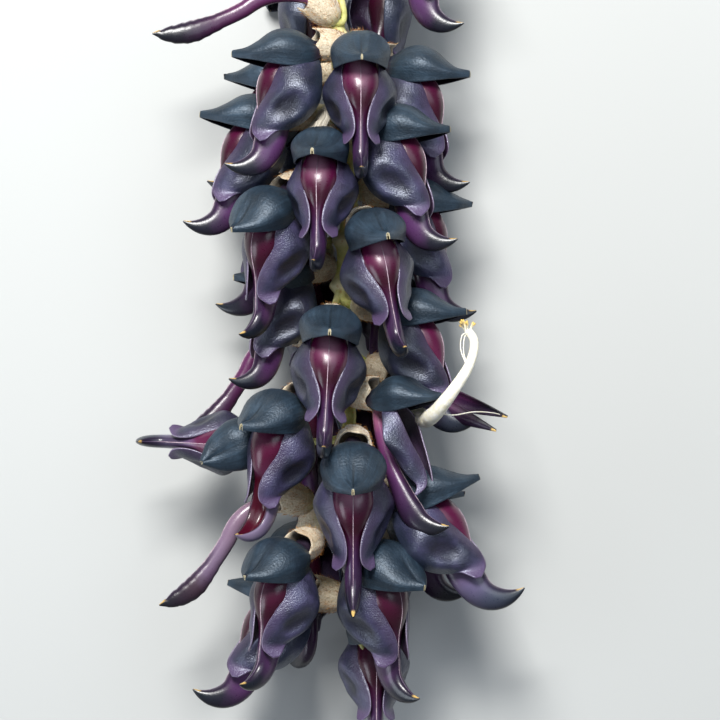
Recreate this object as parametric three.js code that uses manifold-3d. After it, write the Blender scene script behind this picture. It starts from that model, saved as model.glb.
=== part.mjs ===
// A cut flower raceme of Mucuna nigricans, laid on a surface.
// Millimetres. +Y runs along the raceme to its cut end, +Z is up, and the origin is on the surface,
// under the middle of the raceme.
import * as THREE from "three";
import { mergeVertices } from "three/addons/utils/BufferGeometryUtils.js";
import Module from "manifold-3d";

const wasm = await Module();
wasm.setup();

// Places in the raceme are given beside, along and above the stem's own straight line.
// These lengths carry them into the frame of the part.
const STEM_HEIGHT = 42;
const SHIFT_X = 5.4;
const SHIFT_Y = -35;

// Stem, from the cut end to its point
const STEM_ROUTE = [
  [-5, 214, 3], [-6, 190, 1], [-4, 160, 0], [-3.5, 128, 0], [-1, 95, 1], [1, 60, 0],
  [-1, 25, -1], [1, -15, 0], [2.5, -55, 1], [4, -85, 2], [6.5, -106, 3],
];
const STEM_RADIUS_TOP = 3.4;
const STEM_RADIUS_END = 2.0;
const STEM_POINT_RADIUS = 0.6;
const STEM_POINT_LENGTH = 6;
const STEM_SIDES = 6;
const KNOT_RADIUS = 5.4;
const KNOT_HEIGHT = 4.2;
const KNOT_LEVELS = [158, 139, 118, 98, 79, 61, 44, 27, 9, -10, -29, -47, -66, -84];

// Pedicel: how far it sinks into the calyx, and how far behind and above the calyx it bends
const PEDICEL_RADIUS = 1.3;
const PEDICEL_SUNK = 1.5;
const PEDICEL_BEND = { behind: 6, above: 2 };
const PEDICEL_FACETS = { steps: 2, curveSegments: 2 };

// Calyx: a cup that swells from its base to its lip
const CALYX_LENGTH = 11.5;
const CALYX_BASE = { radius: 5.4, behind: 6.9 };
const CALYX_RADIUS = 6.3;
const CALYX_LIP = 0.8;
const CALYX_BORE = 4.9;
const CALYX_DEPTH = 5.5;
const CALYX_SIDES = 5;

// Dried bracts hang from one knot, past the calyces there
const BRACT_KNOT = 98;
const BRACT_TIPS = [[-19, 76, 17], [-13.5, 73, 20], [-9, 76, 17]];
const BRACT_HALF = 3.4;
const BRACT_BEND = 0.55;
const BRACT_ARCH = [0, 3, 6];

// Corolla. The petals' claws stand in the calyx with room round them.
const PETAL_THICKNESS = 0.9;
const CLAW_ROOM = 0.45;
const CLAW_REACH = 3;
const BANNER_START = 1.6;
const BANNER_LENGTH = 32;
const BANNER_FOLD = 0.75;
const KEEL_SIDES = 5;

// What a petal that presses on a neighbour keeps between them, and what a cut may leave as a sliver.
// Merging slivers can move both neighbours, so the room round a petal is wider than the gap.
const GAP = 0.3;
const SLIVER = 0.15;
const ROOM = GAP + 2 * SLIVER;

// A smooth curve through a few hand-set points [x, value]
function profile(points) {
  const slope = points.map((_, i) => {
    const before = points[Math.max(i - 1, 0)];
    const after = points[Math.min(i + 1, points.length - 1)];
    return (after[1] - before[1]) / (after[0] - before[0]);
  });
  return (x) => {
    let i = 0;
    while (i < points.length - 2 && x > points[i + 1][0]) {
      i += 1;
    }
    const [x0, y0] = points[i];
    const [x1, y1] = points[i + 1];
    const h = x1 - x0;
    const t = THREE.MathUtils.clamp((x - x0) / h, 0, 1);
    const t2 = t * t;
    const t3 = t2 * t;
    return (2 * t3 - 3 * t2 + 1) * y0 + (t3 - 2 * t2 + t) * h * slope[i]
      + (3 * t2 - 2 * t3) * y1 + (t3 - t2) * h * slope[i + 1];
  };
}

// Petal outlines in a flower of full size. "Out" leads away from the stem, "side" across the flower and
// "down" towards the raceme's point; all are measured from the middle of the calyx mouth.
const bannerRidge = profile([[0, -1.6], [0.3, -5.8], [0.48, -6.2], [0.72, -2], [1, 2.6]]);
const bannerEdge = profile([[0, 1.6], [0.25, 5.8], [0.5, 6], [0.8, 4.6], [1, 3.2]]);
const bannerHalf = profile([[0, 3.2], [0.25, 9.6], [0.5, 11.2], [0.78, 7.6], [1, 0.7]]);

const wingRearOut = profile([[0, 1.7], [0.14, 3.2], [0.42, 4], [0.68, 9.2], [0.86, 15.5], [1, 22.5]]);
const wingRearDown = profile([[0, 2.4], [0.14, 9], [0.42, 20], [0.68, 28.6], [0.86, 31], [1, 33.8]]);
const wingRearSide = profile([[0, 3.1], [0.16, 6.4], [0.45, 7.8], [0.68, 6.8], [0.84, 4.6], [1, 6.6]]);
const wingFrontOut = profile([[0, 8], [0.16, 14.6], [0.45, 20], [0.68, 23.6], [0.84, 25.6], [1, 25.8]]);
const wingFrontDown = profile([[0, -0.4], [0.16, 6.4], [0.45, 16.6], [0.68, 23.2], [0.84, 27.6], [1, 32.2]]);
const wingFrontSide = profile([[0, 4.2], [0.16, 6.9], [0.45, 4.9], [0.68, 2.7], [0.84, 2.9], [1, 6.4]]);
const wingBulge = profile([[0, 0], [0.16, 2.4], [0.45, 7.4], [0.68, 6.4], [0.84, 3], [1, 0.2]]);
const WING_ROWS = [0, 0.16, 0.45, 0.76, 1];
const HIDDEN_WING_ROWS = [0, 0.2, 0.6, 1];
const ROLLED_AWAY = 0.5;

// The keel's line: its heading, 0 outwards and 90 downwards, from the calyx to the horny tip.
// An old, slack keel straightens towards one heading. Where the near wing has rolled away the keel hangs
// loose, along its own line, and a bare keel has shrunk.
const KEEL_LENGTH = 60;
const KEEL_START = { out: 3, down: 1.5 };
const KEEL_LINE_STEPS = 24;
const keelHeading = profile([[0, 28], [0.2, 54], [0.35, 80], [0.5, 82], [0.68, 66], [0.82, 18], [1, -34]]);
const looseHeading = profile([[0, 88], [0.2, 72], [0.5, 60], [0.7, 52], [0.84, 12], [1, -24]]);
const SLACK_HEADING = 66;
const SLACK_FROM = 0.4;
const BARE_SHRINK = 0.74;
const keelDepth = profile([[0, 3], [0.14, 6.2], [0.3, 8], [0.48, 6.2], [0.66, 5.6], [0.84, 3.8], [1, 0.5]]);
const keelHalf = profile([
  [0, 2.6], [0.14, 4.8], [0.3, 6.2], [0.4, 4.6], [0.5, 3.2], [0.66, 2.9], [0.84, 2.4], [1, 0.5],
]);
const KEEL_ROWS = [0, 0.15, 0.32, 0.5, 0.68, 0.84, 1];
const HIDDEN_KEEL_ROWS = [0, 0.3, 0.6, 0.82, 1];

// In the opened bloom the keel's halves lie apart and straight, and the stamens' tube rises between them
const HALF_START = 1.8;
const HALF_LENGTH = 46;
const HALF_WIDTH = 7;
const HALF_TIP = 0.4;
const HALF_BOW = 0.45;
const HALF_APART = 0.8;
const HALF_SPREAD = 4;
const halfDown = {
  1: profile([[0, 1], [0.35, 7], [1, 13.5]]),
  "-1": profile([[0, 0], [0.35, 4], [1, 8.5]]),
};
const STAMEN_RADIUS = 1.5;
const STAMEN_ROUTE = [
  [4, 0, 1], [12, 0, 2], [21, 1.5, 3.5], [30, 7, -0.5], [37, 12, -9], [39, 12, -18], [35.5, 10.5, -23.5],
];
const STAMEN_FACETS = { steps: 8, curveSegments: 3 };

// The blooms that are seen from above: the middle of each calyx mouth, beside, along and above the stem's
// line, and how the bloom is turned there. Yaw turns it round the stem (0 up, 90 to the right), tilt dips it
// towards the raceme's point, and roll swings it round its own outward line.
const FRONT_BLOOMS = [
  { id: "01", at: [15, 168, 12], yaw: 72, tilt: 8 },
  { id: "02", at: [-11, 131, 5], yaw: -80, tilt: -44, curl: 0.3, bare: true },
  { id: "03", at: [-9, 113, 22], yaw: -79, tilt: 1 },
  { id: "04", at: [5, 112, 25], yaw: 2, tilt: 6, size: 0.98 },
  { id: "05", at: [15, 110, -2], yaw: 74, tilt: 5 },
  { id: "06", at: [7, 86, 21], yaw: 73, tilt: 1 },
  { id: "08", at: [15, 62, 0], yaw: 92, tilt: 3 },
  { id: "09", at: [-7, 78, 24], yaw: -8, tilt: 4, size: 0.97 },
  { id: "10", at: [-21, 61, 17], yaw: -41, tilt: 22, roll: -10 },
  { id: "11", at: [-21, 90, 6], yaw: -80, tilt: -4 },
  { id: "12", at: [-13, 106, -11], yaw: -92, tilt: -4 },
  { id: "13", at: [7, 49, 24], yaw: 14, tilt: 5, roll: 10 },
  { id: "14", at: [13, 20, 9], yaw: 74, tilt: -1 },
  { id: "15", at: [-5, 14, 24], yaw: 0, tilt: 2, roll: -3, size: 1.02 },
  { id: "16", at: [9, -12, 20], yaw: 65, tilt: 4, rolled: 1 },
  { id: "17", at: [17, -4, 2], yaw: 62, tilt: 14, opened: true },
  { id: "19", at: [-28, -31, 0], yaw: -28, tilt: 0, roll: -92, size: 0.88 },
  { id: "20", at: [-17, -14, 20], yaw: -38, tilt: 12, roll: -10 },
  { id: "21", at: [-22, -50, 2], yaw: -80, tilt: -15, curl: 0.4, bare: true },
  { id: "22", at: [-16, -67, 20], yaw: -38, tilt: 12, roll: -9 },
  { id: "23", at: [3, -31, 26], yaw: 0, tilt: 20, size: 1.08, curl: 0.75 },
  { id: "24", at: [5, -67, 14], yaw: 46, tilt: 18, roll: 10, size: 1.08 },
  { id: "25", at: [14, -49, 15], yaw: 85, tilt: -17, size: 1.1 },
  { id: "26", at: [15, -45, -9], yaw: 88, tilt: 3, size: 0.92 },
  { id: "27", at: [10, -95, -15], yaw: 4, tilt: 6 },
  { id: "28", at: [-13, 63, -10], yaw: -97, tilt: 0 },
  { id: "29", at: [-13, 34, -5], yaw: -67, tilt: 2, size: 0.94 },
  { id: "31", at: [-16, 11, -14], yaw: -80, tilt: -15, curl: 0.4, bare: true },
  { id: "32", at: [-10, -86, -6], yaw: -84, tilt: -13, size: 1.05 },
];

// The blooms underneath spring by a rule: two rows, left and right, pressed outwards by the surface
const UNDER_ROWS = [
  { hand: -1, levels: [149, 88, 38, -10, -62] },
  { hand: 1, levels: [150, 95, 44, -7, -64] },
];
const UNDER_YAW = 143;
const UNDER_YAW_SPREAD = 10;
const UNDER_REACH = 12;
const UNDER_DROP = -20;
const UNDER_TILT = 20;
const UNDER_TILT_SPREAD = 8;
const UNDER_SEED = 11;

const LOOKS = {
  stem: { color: "#9a9a6a", roughness: 0.6 },
  bloom: { color: "#3d3347", roughness: 0.45 },
  old: { color: "#8a4a68", roughness: 0.45 },
  stamens: { color: "#e8e4d8", roughness: 0.5 },
};

function seeded(start) {
  let state = start;
  return () => {
    state = (state * 16807) % 2147483647;
    return state / 2147483647;
  };
}

function underBlooms() {
  const random = seeded(UNDER_SEED);
  return UNDER_ROWS.flatMap(({ hand, levels }) => levels.map((level, i) => ({
    id: `under_${hand < 0 ? "left" : "right"}_${i + 1}`,
    at: [hand * UNDER_REACH, level, UNDER_DROP],
    yaw: hand * (UNDER_YAW + UNDER_YAW_SPREAD * random()),
    tilt: UNDER_TILT + UNDER_TILT_SPREAD * random(),
    hidden: true,
  })));
}

const BLOOMS = [...FRONT_BLOOMS, ...underBlooms()];

function lerp(a, b, t) {
  return a + (b - a) * t;
}

// 0 to 1 in equal steps
function even(cells) {
  return Array.from({ length: cells + 1 }, (_, i) => i / cells);
}

function signedVolume(points, corners) {
  const [a, b, c] = [new THREE.Vector3(), new THREE.Vector3(), new THREE.Vector3()];
  let volume = 0;
  for (let i = 0; i < corners.length; i += 3) {
    a.fromArray(points, corners[i] * 3);
    b.fromArray(points, corners[i + 1] * 3);
    c.fromArray(points, corners[i + 2] * 3);
    volume += a.dot(b.cross(c)) / 6;
  }
  return volume;
}

// A closed geometry as a solid, with its shared vertices merged and its faces turned outwards
function toSolid(geometry) {
  geometry.deleteAttribute("normal");
  geometry.deleteAttribute("uv");
  const merged = mergeVertices(geometry, 1e-4);
  const points = merged.attributes.position.array;
  const corners = merged.index.array.slice();
  if (signedVolume(points, corners) < 0) {
    for (let i = 0; i < corners.length; i += 3) {
      [corners[i], corners[i + 1]] = [corners[i + 1], corners[i]];
    }
  }
  return new wasm.Manifold(new wasm.Mesh({
    numProp: 3,
    vertProperties: new Float32Array(points),
    triVerts: new Uint32Array(corners),
  }));
}

function indexedSolid(points, index) {
  const geometry = new THREE.BufferGeometry();
  geometry.setFromPoints(points);
  geometry.setIndex(index);
  return toSolid(geometry);
}

function toGeometry(body) {
  const mesh = body.getMesh();
  const geometry = new THREE.BufferGeometry();
  geometry.setAttribute("position", new THREE.BufferAttribute(mesh.vertProperties, 3));
  geometry.setIndex(new THREE.BufferAttribute(mesh.triVerts, 1));
  return geometry;
}

function moved(body, matrix) {
  const mesh = body.getMesh();
  const points = new Float32Array(mesh.vertProperties);
  const point = new THREE.Vector3();
  for (let i = 0; i < points.length; i += 3) {
    point.fromArray(points, i).applyMatrix4(matrix).toArray(points, i);
  }
  return new wasm.Manifold(new wasm.Mesh({ numProp: 3, vertProperties: points, triVerts: mesh.triVerts }));
}

function joined(bodies) {
  return bodies.reduce((whole, body) => whole.add(body));
}

// The slivers that a join or a cut leaves are merged into their neighbours, and a loose scrap is dropped
function tidied(body) {
  const pieces = body.asOriginal().simplify(SLIVER).decompose();
  return pieces.reduce((best, piece) => (piece.volume() > best.volume() ? piece : best));
}

// Closed body from rings of points, shut at both ends
function loft(rings) {
  const sides = rings[0].length;
  const index = [];
  for (let r = 0; r < rings.length - 1; r += 1) {
    for (let s = 0; s < sides; s += 1) {
      const a = r * sides + s;
      const b = r * sides + (s + 1) % sides;
      index.push(a, b, b + sides, a, b + sides, a + sides);
    }
  }
  const last = (rings.length - 1) * sides;
  for (let s = 1; s < sides - 1; s += 1) {
    index.push(0, s + 1, s);
    index.push(last, last + s, last + s + 1);
  }
  return indexedSolid(rings.flat(), index);
}

// -1 at the first of a row's places, 1 at the last and 0 between them
function edgeOf(i, count) {
  return Number(i === count - 1) - Number(i === 0);
}

// Closed blade: a sheet of points, thickened along its normals, with the same triangles on both faces.
// A grown blade is thicker and reaches past its own rim.
function blade(surface, rows, columns, grow) {
  const step = 1e-3;
  const half = PETAL_THICKNESS / 2 + grow;
  const faces = [[], []];
  rows.forEach((u, r) => {
    columns.forEach((v, c) => {
      const along = surface(Math.min(u + step, 1), v).sub(surface(Math.max(u - step, 0), v)).normalize();
      const across = surface(u, Math.min(v + step, 1)).sub(surface(u, Math.max(v - step, 0))).normalize();
      const normal = along.clone().cross(across).normalize();
      const point = surface(u, v);
      point.addScaledVector(along, grow * edgeOf(r, rows.length));
      point.addScaledVector(across, grow * edgeOf(c, columns.length));
      faces[0].push(point.clone().addScaledVector(normal, half));
      faces[1].push(point.clone().addScaledVector(normal, -half));
    });
  });
  const under = faces[0].length;
  const width = columns.length;
  const lastRow = (rows.length - 1) * width;
  const index = [];
  for (let i = 0; i < lastRow; i += width) {
    for (let a = i; a < i + width - 1; a += 1) {
      const b = a + width;
      index.push(a, b, b + 1, a, b + 1, a + 1);
      index.push(under + a, under + b + 1, under + b, under + a, under + a + 1, under + b + 1);
    }
  }
  const rim = [];
  const side = (from, to, pace) => {
    for (let a = from; a !== to; a += pace) {
      rim.push(a);
    }
  };
  side(0, width - 1, 1);
  side(width - 1, lastRow + width - 1, width);
  side(lastRow + width - 1, lastRow, -1);
  side(lastRow, 0, -width);
  rim.forEach((a, k) => {
    const b = rim[(k + 1) % rim.length];
    index.push(a, b, under + b, a, under + b, under + a);
  });
  return indexedSolid(faces.flat(), index);
}

// Round bar along a curve
function bar(curve, radius, facets) {
  const section = new THREE.Shape();
  section.absarc(0, 0, radius, 0, 2 * Math.PI);
  const options = { ...facets, extrudePath: curve, bevelEnabled: false };
  return toSolid(new THREE.ExtrudeGeometry(section, options));
}

// Turned body whose axis is the flower's outward line; the outline's points are [radius, out]
function turned(outline) {
  const points = outline.map(([radius, out]) => new THREE.Vector2(radius, out));
  const lathe = new THREE.LatheGeometry(points, CALYX_SIDES);
  lathe.rotateZ(-Math.PI / 2);
  return toSolid(lathe);
}

// A bloom's own axes in the raceme: x out, y side, z down
function bloomFrame(bloom) {
  const yaw = THREE.MathUtils.degToRad(bloom.yaw);
  const tilt = THREE.MathUtils.degToRad(bloom.tilt);
  const level = Math.cos(tilt);
  const out = new THREE.Vector3(Math.sin(yaw) * level, -Math.sin(tilt), Math.cos(yaw) * level);
  const down = new THREE.Vector3(0, -1, 0).addScaledVector(out, -Math.sin(tilt)).normalize();
  down.applyAxisAngle(out, THREE.MathUtils.degToRad(bloom.roll ?? 0));
  const side = new THREE.Vector3().crossVectors(down, out);
  return new THREE.Matrix4().makeBasis(out, side, down).setPosition(...bloom.at);
}

function scaled(bloom) {
  const size = bloom.size ?? 1;
  return bloomFrame(bloom).scale(new THREE.Vector3(size, size, size));
}

// Stem: a tapered, slightly wandering rod, swollen at its knots and pointed at its end
const stemLine = new THREE.CatmullRomCurve3(STEM_ROUTE.map((p) => new THREE.Vector3(...p)));
const STEM_HALVINGS = 30;

function stemAt(y) {
  let [low, high] = [0, 1];
  for (let i = 0; i < STEM_HALVINGS; i += 1) {
    const middle = (low + high) / 2;
    if (stemLine.getPoint(middle).y > y) {
      low = middle;
    } else {
      high = middle;
    }
  }
  return stemLine.getPoint(low);
}

function stemRod(grow) {
  const [top, end] = [STEM_ROUTE[0][1], STEM_ROUTE.at(-1)[1]];
  const slim = (y) => ({ y, radius: lerp(STEM_RADIUS_TOP, STEM_RADIUS_END, (top - y) / (top - end)) });
  const rings = [slim(top)];
  KNOT_LEVELS.forEach((y) => {
    rings.push(slim(y + KNOT_HEIGHT), { y, radius: KNOT_RADIUS }, slim(y - KNOT_HEIGHT));
  });
  rings.push(slim(end + STEM_POINT_LENGTH), { y: end, radius: STEM_POINT_RADIUS });
  return loft(rings.map(({ y, radius }) => {
    const centre = stemAt(y);
    return even(STEM_SIDES).slice(1).map((t) => {
      const angle = 2 * Math.PI * t;
      const reach = new THREE.Vector3(Math.cos(angle), 0, Math.sin(angle));
      return centre.clone().addScaledVector(reach, radius + grow);
    });
  }));
}

// The knot that a flower springs from lies nearest to a place somewhat above its calyx
const KNOT_ABOVE = 7;

function knotOf(place) {
  const wanted = place.y + KNOT_ABOVE;
  return KNOT_LEVELS.reduce((best, y) => (Math.abs(y - wanted) < Math.abs(best - wanted) ? y : best));
}

function calyxCup(bloom, grow) {
  const cup = turned([
    [0, -CALYX_LENGTH - grow],
    [CALYX_BASE.radius + grow, -CALYX_BASE.behind],
    [CALYX_RADIUS + grow, CALYX_LIP + grow],
    [CALYX_BORE - grow, CALYX_LIP + grow],
    [CALYX_BORE - grow, grow - CALYX_DEPTH],
    [0, grow - CALYX_DEPTH],
  ]);
  return moved(cup, scaled(bloom));
}

// The pedicel leaves its knot towards the calyx and runs into the calyx's base
function pedicel(bloom, grow) {
  const frame = scaled(bloom);
  const base = new THREE.Vector3(PEDICEL_SUNK - CALYX_LENGTH, 0, 0).applyMatrix4(frame);
  const bend = new THREE.Vector3(-PEDICEL_BEND.behind - CALYX_LENGTH, 0, -PEDICEL_BEND.above);
  bend.applyMatrix4(frame);
  const root = stemAt(knotOf(base));
  const towards = base.clone().sub(root).setY(0).normalize();
  root.addScaledVector(towards, STEM_RADIUS_END);
  const line = new THREE.QuadraticBezierCurve3(root, bend, base);
  return bar(line, PEDICEL_RADIUS + grow, PEDICEL_FACETS);
}

// A bract is a lance-shaped blade, narrow at its root and at its tip
function bract(tip, grow) {
  const root = stemAt(BRACT_KNOT);
  const bend = root.clone().lerp(tip, BRACT_BEND).add(new THREE.Vector3(...BRACT_ARCH));
  const line = new THREE.QuadraticBezierCurve3(root, bend, tip);
  const surface = (t, across) => {
    const half = BRACT_HALF * Math.sin(Math.PI * lerp(0.12, 0.92, t));
    return line.getPoint(t).add(new THREE.Vector3((2 * across - 1) * half, 0, 0));
  };
  return blade(surface, even(3), even(1), grow);
}

function stemWithCalyces(grow) {
  const bracts = BRACT_TIPS.map((tip) => bract(new THREE.Vector3(...tip), grow));
  const flowers = BLOOMS.flatMap((bloom) => [pedicel(bloom, grow), calyxCup(bloom, grow)]);
  return joined([stemRod(grow), ...bracts, ...flowers]);
}

// The claws of the petals, together in the calyx
function claws() {
  const radius = CALYX_BORE - CLAW_ROOM;
  const depth = CALYX_DEPTH - CLAW_ROOM;
  return turned([[0, -depth], [radius, -depth], [radius, CLAW_REACH], [0, CLAW_REACH]]);
}

// The banner is folded along its ridge like a saddle and ends in a point
function banner(bloom, grow) {
  const surface = (t, across) => {
    const angle = (across - 0.5) * Math.PI;
    const crown = Math.cos(angle) ** BANNER_FOLD;
    return new THREE.Vector3(
      lerp(BANNER_START, BANNER_LENGTH, t),
      bannerHalf(t) * Math.sin(angle),
      lerp(bannerEdge(t), bannerRidge(t), crown),
    );
  };
  return blade(surface, even(3), even(bloom.hidden ? 2 : 4), grow);
}

// A wing bulges sideways and narrows to a horn at its lower front corner
function wing(bloom, hand, grow) {
  const rearmost = bloom.rolled === hand ? ROLLED_AWAY : 0;
  const surface = (t, acrossBlade) => {
    const across = lerp(rearmost, 1, acrossBlade);
    const bulge = wingBulge(t) * (1 - (2 * across - 1) ** 2);
    return new THREE.Vector3(
      lerp(wingRearOut(t), wingFrontOut(t), across),
      hand * (lerp(wingRearSide(t), wingFrontSide(t), across) + bulge),
      lerp(wingRearDown(t), wingFrontDown(t), across),
    );
  };
  const rows = bloom.hidden ? HIDDEN_WING_ROWS : WING_ROWS;
  return blade(surface, rows, even(2), grow);
}

// Where a bloom's keel has its middle line at t, and which way it heads
function keelLine(bloom, t) {
  const step = KEEL_LENGTH * t / KEEL_LINE_STEPS;
  const place = { out: KEEL_START.out, down: KEEL_START.down, heading: 0 };
  const heading = bloom.rolled ? looseHeading : keelHeading;
  even(KEEL_LINE_STEPS).forEach((part, i) => {
    const bend = heading(t * part);
    const slack = t * part > SLACK_FROM ? lerp(SLACK_HEADING, bend, bloom.curl ?? 1) : bend;
    place.heading = THREE.MathUtils.degToRad(slack);
    if (i < KEEL_LINE_STEPS) {
      place.out += step * Math.cos(place.heading);
      place.down += step * Math.sin(place.heading);
    }
  });
  return place;
}

// The keel is a deep bulb that narrows to an upturned beak
function keel(bloom, grow) {
  const rows = bloom.hidden ? HIDDEN_KEEL_ROWS : KEEL_ROWS;
  const shrink = bloom.bare ? BARE_SHRINK : 1;
  return loft(rows.map((t) => {
    const line = keelLine(bloom, t);
    return even(KEEL_SIDES).slice(1).map((part) => {
      const angle = 2 * Math.PI * (part + 0.5 / KEEL_SIDES);
      const depth = (shrink * keelDepth(t) + grow) * Math.cos(angle);
      const past = t === 1 ? grow : 0;
      return new THREE.Vector3(
        line.out + depth * Math.sin(line.heading) + past * Math.cos(line.heading),
        (shrink * keelHalf(t) + grow) * Math.sin(angle),
        line.down - depth * Math.cos(line.heading) + past * Math.sin(line.heading),
      );
    });
  }));
}

// Half of an opened keel: a narrow boat-shaped blade that flattens towards its tip
function keelPart(hand, grow) {
  const surface = (t, across) => {
    const half = HALF_TIP + HALF_WIDTH / 2 * Math.sin(Math.PI * lerp(0.2, 1, t));
    const place = 2 * across - 1;
    const bow = HALF_BOW * half * (1 - place ** 2);
    return new THREE.Vector3(
      HALF_START + HALF_LENGTH * t,
      hand * (HALF_APART + HALF_SPREAD * t + bow),
      halfDown[hand](t) + half * place,
    );
  };
  return blade(surface, even(4), even(2), grow);
}

function petals(bloom, grow) {
  if (bloom.opened) {
    return [keelPart(1, grow), keelPart(-1, grow)];
  }
  if (bloom.bare) {
    return [keel(bloom, grow)];
  }
  return [keel(bloom, grow), banner(bloom, grow), wing(bloom, 1, grow), wing(bloom, -1, grow)];
}

function corolla(bloom, grow = 0) {
  return moved(joined([claws(), ...petals(bloom, grow)]), scaled(bloom));
}

function stamenTube(bloom) {
  const line = new THREE.CatmullRomCurve3(STAMEN_ROUTE.map((p) => new THREE.Vector3(...p)));
  return moved(bar(line, STAMEN_RADIUS, STAMEN_FACETS), scaled(bloom));
}

function boxesMeet(a, b) {
  const [p, q] = [a.boundingBox(), b.boundingBox()];
  return [0, 1, 2].every((i) => p.min[i] <= q.max[i] && q.min[i] <= p.max[i]);
}

// A body, cut back where it presses against others, each of which already has room round it
function pressed(body, others) {
  const near = others.filter((other) => boxesMeet(body, other));
  return tidied(near.reduce((rest, other) => rest.subtract(other), body));
}

const raceme = new THREE.Group();
raceme.position.set(SHIFT_X, SHIFT_Y, STEM_HEIGHT);

// Adds a node with its own place: its solid is turned back into the bloom's axes
function addNode(name, body, frame, look) {
  const geometry = toGeometry(moved(body, frame.clone().invert()));
  const mesh = new THREE.Mesh(geometry, new THREE.MeshStandardMaterial({ ...look, metalness: 0 }));
  mesh.name = name;
  mesh.applyMatrix4(frame);
  raceme.add(mesh);
}

addNode("rachis", tidied(stemWithCalyces(0)), new THREE.Matrix4(), LOOKS.stem);

// The block below the surface, which flattens what presses on it
const BLOCK_SIDE = 600;
const block = new THREE.BoxGeometry(BLOCK_SIDE, BLOCK_SIDE, BLOCK_SIDE);
block.translate(0, 0, -STEM_HEIGHT - BLOCK_SIDE / 2);
const occupied = [toSolid(block), stemWithCalyces(ROOM)];
BLOOMS.forEach((bloom) => {
  const look = bloom.bare ? LOOKS.old : LOOKS.bloom;
  addNode(`bloom_${bloom.id}`, pressed(corolla(bloom), occupied), bloomFrame(bloom), look);
  occupied.push(corolla(bloom, ROOM));
});

BLOOMS.filter((bloom) => bloom.opened).forEach((bloom) => {
  const tube = pressed(stamenTube(bloom), occupied);
  addNode(`stamens_${bloom.id}`, tube, bloomFrame(bloom), LOOKS.stamens);
});

export default raceme;
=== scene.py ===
# The looks of a cut flower raceme of Mucuna nigricans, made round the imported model.
# Places and sizes are in millimetres, as in the model's source; a mesh is made in metres.
import math

import bpy
import numpy as np
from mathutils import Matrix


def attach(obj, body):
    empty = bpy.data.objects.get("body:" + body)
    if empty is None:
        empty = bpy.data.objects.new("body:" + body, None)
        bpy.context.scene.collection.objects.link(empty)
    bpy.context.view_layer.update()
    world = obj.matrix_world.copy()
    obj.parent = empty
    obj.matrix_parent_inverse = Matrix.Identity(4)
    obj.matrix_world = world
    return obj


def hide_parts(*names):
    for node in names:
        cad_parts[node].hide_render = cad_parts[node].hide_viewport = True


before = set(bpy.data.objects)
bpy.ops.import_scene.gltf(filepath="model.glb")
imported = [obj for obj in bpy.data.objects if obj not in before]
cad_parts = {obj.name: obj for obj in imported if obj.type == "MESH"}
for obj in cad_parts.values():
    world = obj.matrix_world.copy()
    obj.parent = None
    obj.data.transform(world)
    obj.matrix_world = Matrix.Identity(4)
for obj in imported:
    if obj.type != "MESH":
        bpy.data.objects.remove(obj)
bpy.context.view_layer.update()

MM = 0.001
scene = bpy.context.scene

# Places in the raceme are given beside, along and above the stem's own straight line
STEM_HEIGHT = 42
SHIFT = np.array([5.4, -35, STEM_HEIGHT])

# Stem, from the cut end to its point
STEM_ROUTE = [
    [-5, 214, 3], [-6, 190, 1], [-4, 160, 0], [-3.5, 128, 0], [-1, 95, 1], [1, 60, 0],
    [-1, 25, -1], [1, -15, 0], [2.5, -55, 1], [4, -85, 2], [6.5, -106, 3],
]
STEM_LINE_STEPS = 400
STEM_RINGS = 420
STEM_SIDES = 28
STEM_RADIUS_TOP = 3.4
STEM_RADIUS_END = 2.0
STEM_POINT = 6
STEM_BLUNT = 0.01
STEM_SWELL = (0.5, 7)
STEM_SEED = 7

# Knots. A pedicel springs from the knot that is nearest to KNOT_ABOVE over its calyx's base.
KNOT_RADIUS = 5.4
KNOT_HEIGHT = 4.2
KNOT_SPREAD = 0.62
KNOT_FULLNESS = 0.92
KNOT_ABOVE = 7
KNOT_LEVELS = [158, 139, 118, 98, 79, 61, 44, 27, 9, -10, -29, -47, -66, -84]

# Pedicels, thicker at the stem and at the calyx
PEDICEL_STEPS = 18
PEDICEL_SIDES = 12
PEDICEL_RADIUS = 1.3
PEDICEL_FLARE_AT_STEM = 0.25
PEDICEL_FLARE_AT_CALYX = 0.35
PEDICEL_FLARE_REACH = 0.2
PEDICEL_SUNK = 1.5
PEDICEL_BEND = [-6, 0, -2]

# Calyx cups with faint ribs and four pointed lobes. The inside is given as how far down it a ring lies
# and how much of its radius the ring keeps. With CALYX_EASE 3, ribs and bore are full a third of the way.
CALYX_RINGS = 16
CALYX_SIDES = 40
CALYX_LENGTH = 11.5
CALYX_LIP = 0.8
CALYX_WALL = 0.45
CALYX_LIP_WALL = 0.4
CALYX_BORE = 4.9
CALYX_DEPTH = 5.5
CALYX_INSIDE = [(0.02, 0.7), (0.2, 1), (0.5, 1), (0.8, 1), (1, 0.97), (1, 0.4)]
CALYX_EASE = 3
RIBS = 10
RIB_HEIGHT = 0.025
LOBES = 4
LOBE_HEIGHT = 2.2
LOBE_TURN = 0.8
LOBE_SHARPNESS = 1.6
LOBES_FROM = 0.6

# Stiff hairs on the calyces
FRONT_HAIRS = 420
UNDER_HAIRS = 120
HAIRS_FROM = 0.1
HAIR_RADIUS = 0.08
HAIR_LENGTHS = (0.8, 2.6)
HAIR_SUNK = 0.1
HAIR_LEAN_ALONG = 0.9
HAIR_LEAN_OUT = (0.25, 0.8)
HAIR_ASKEW = 0.25

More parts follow.
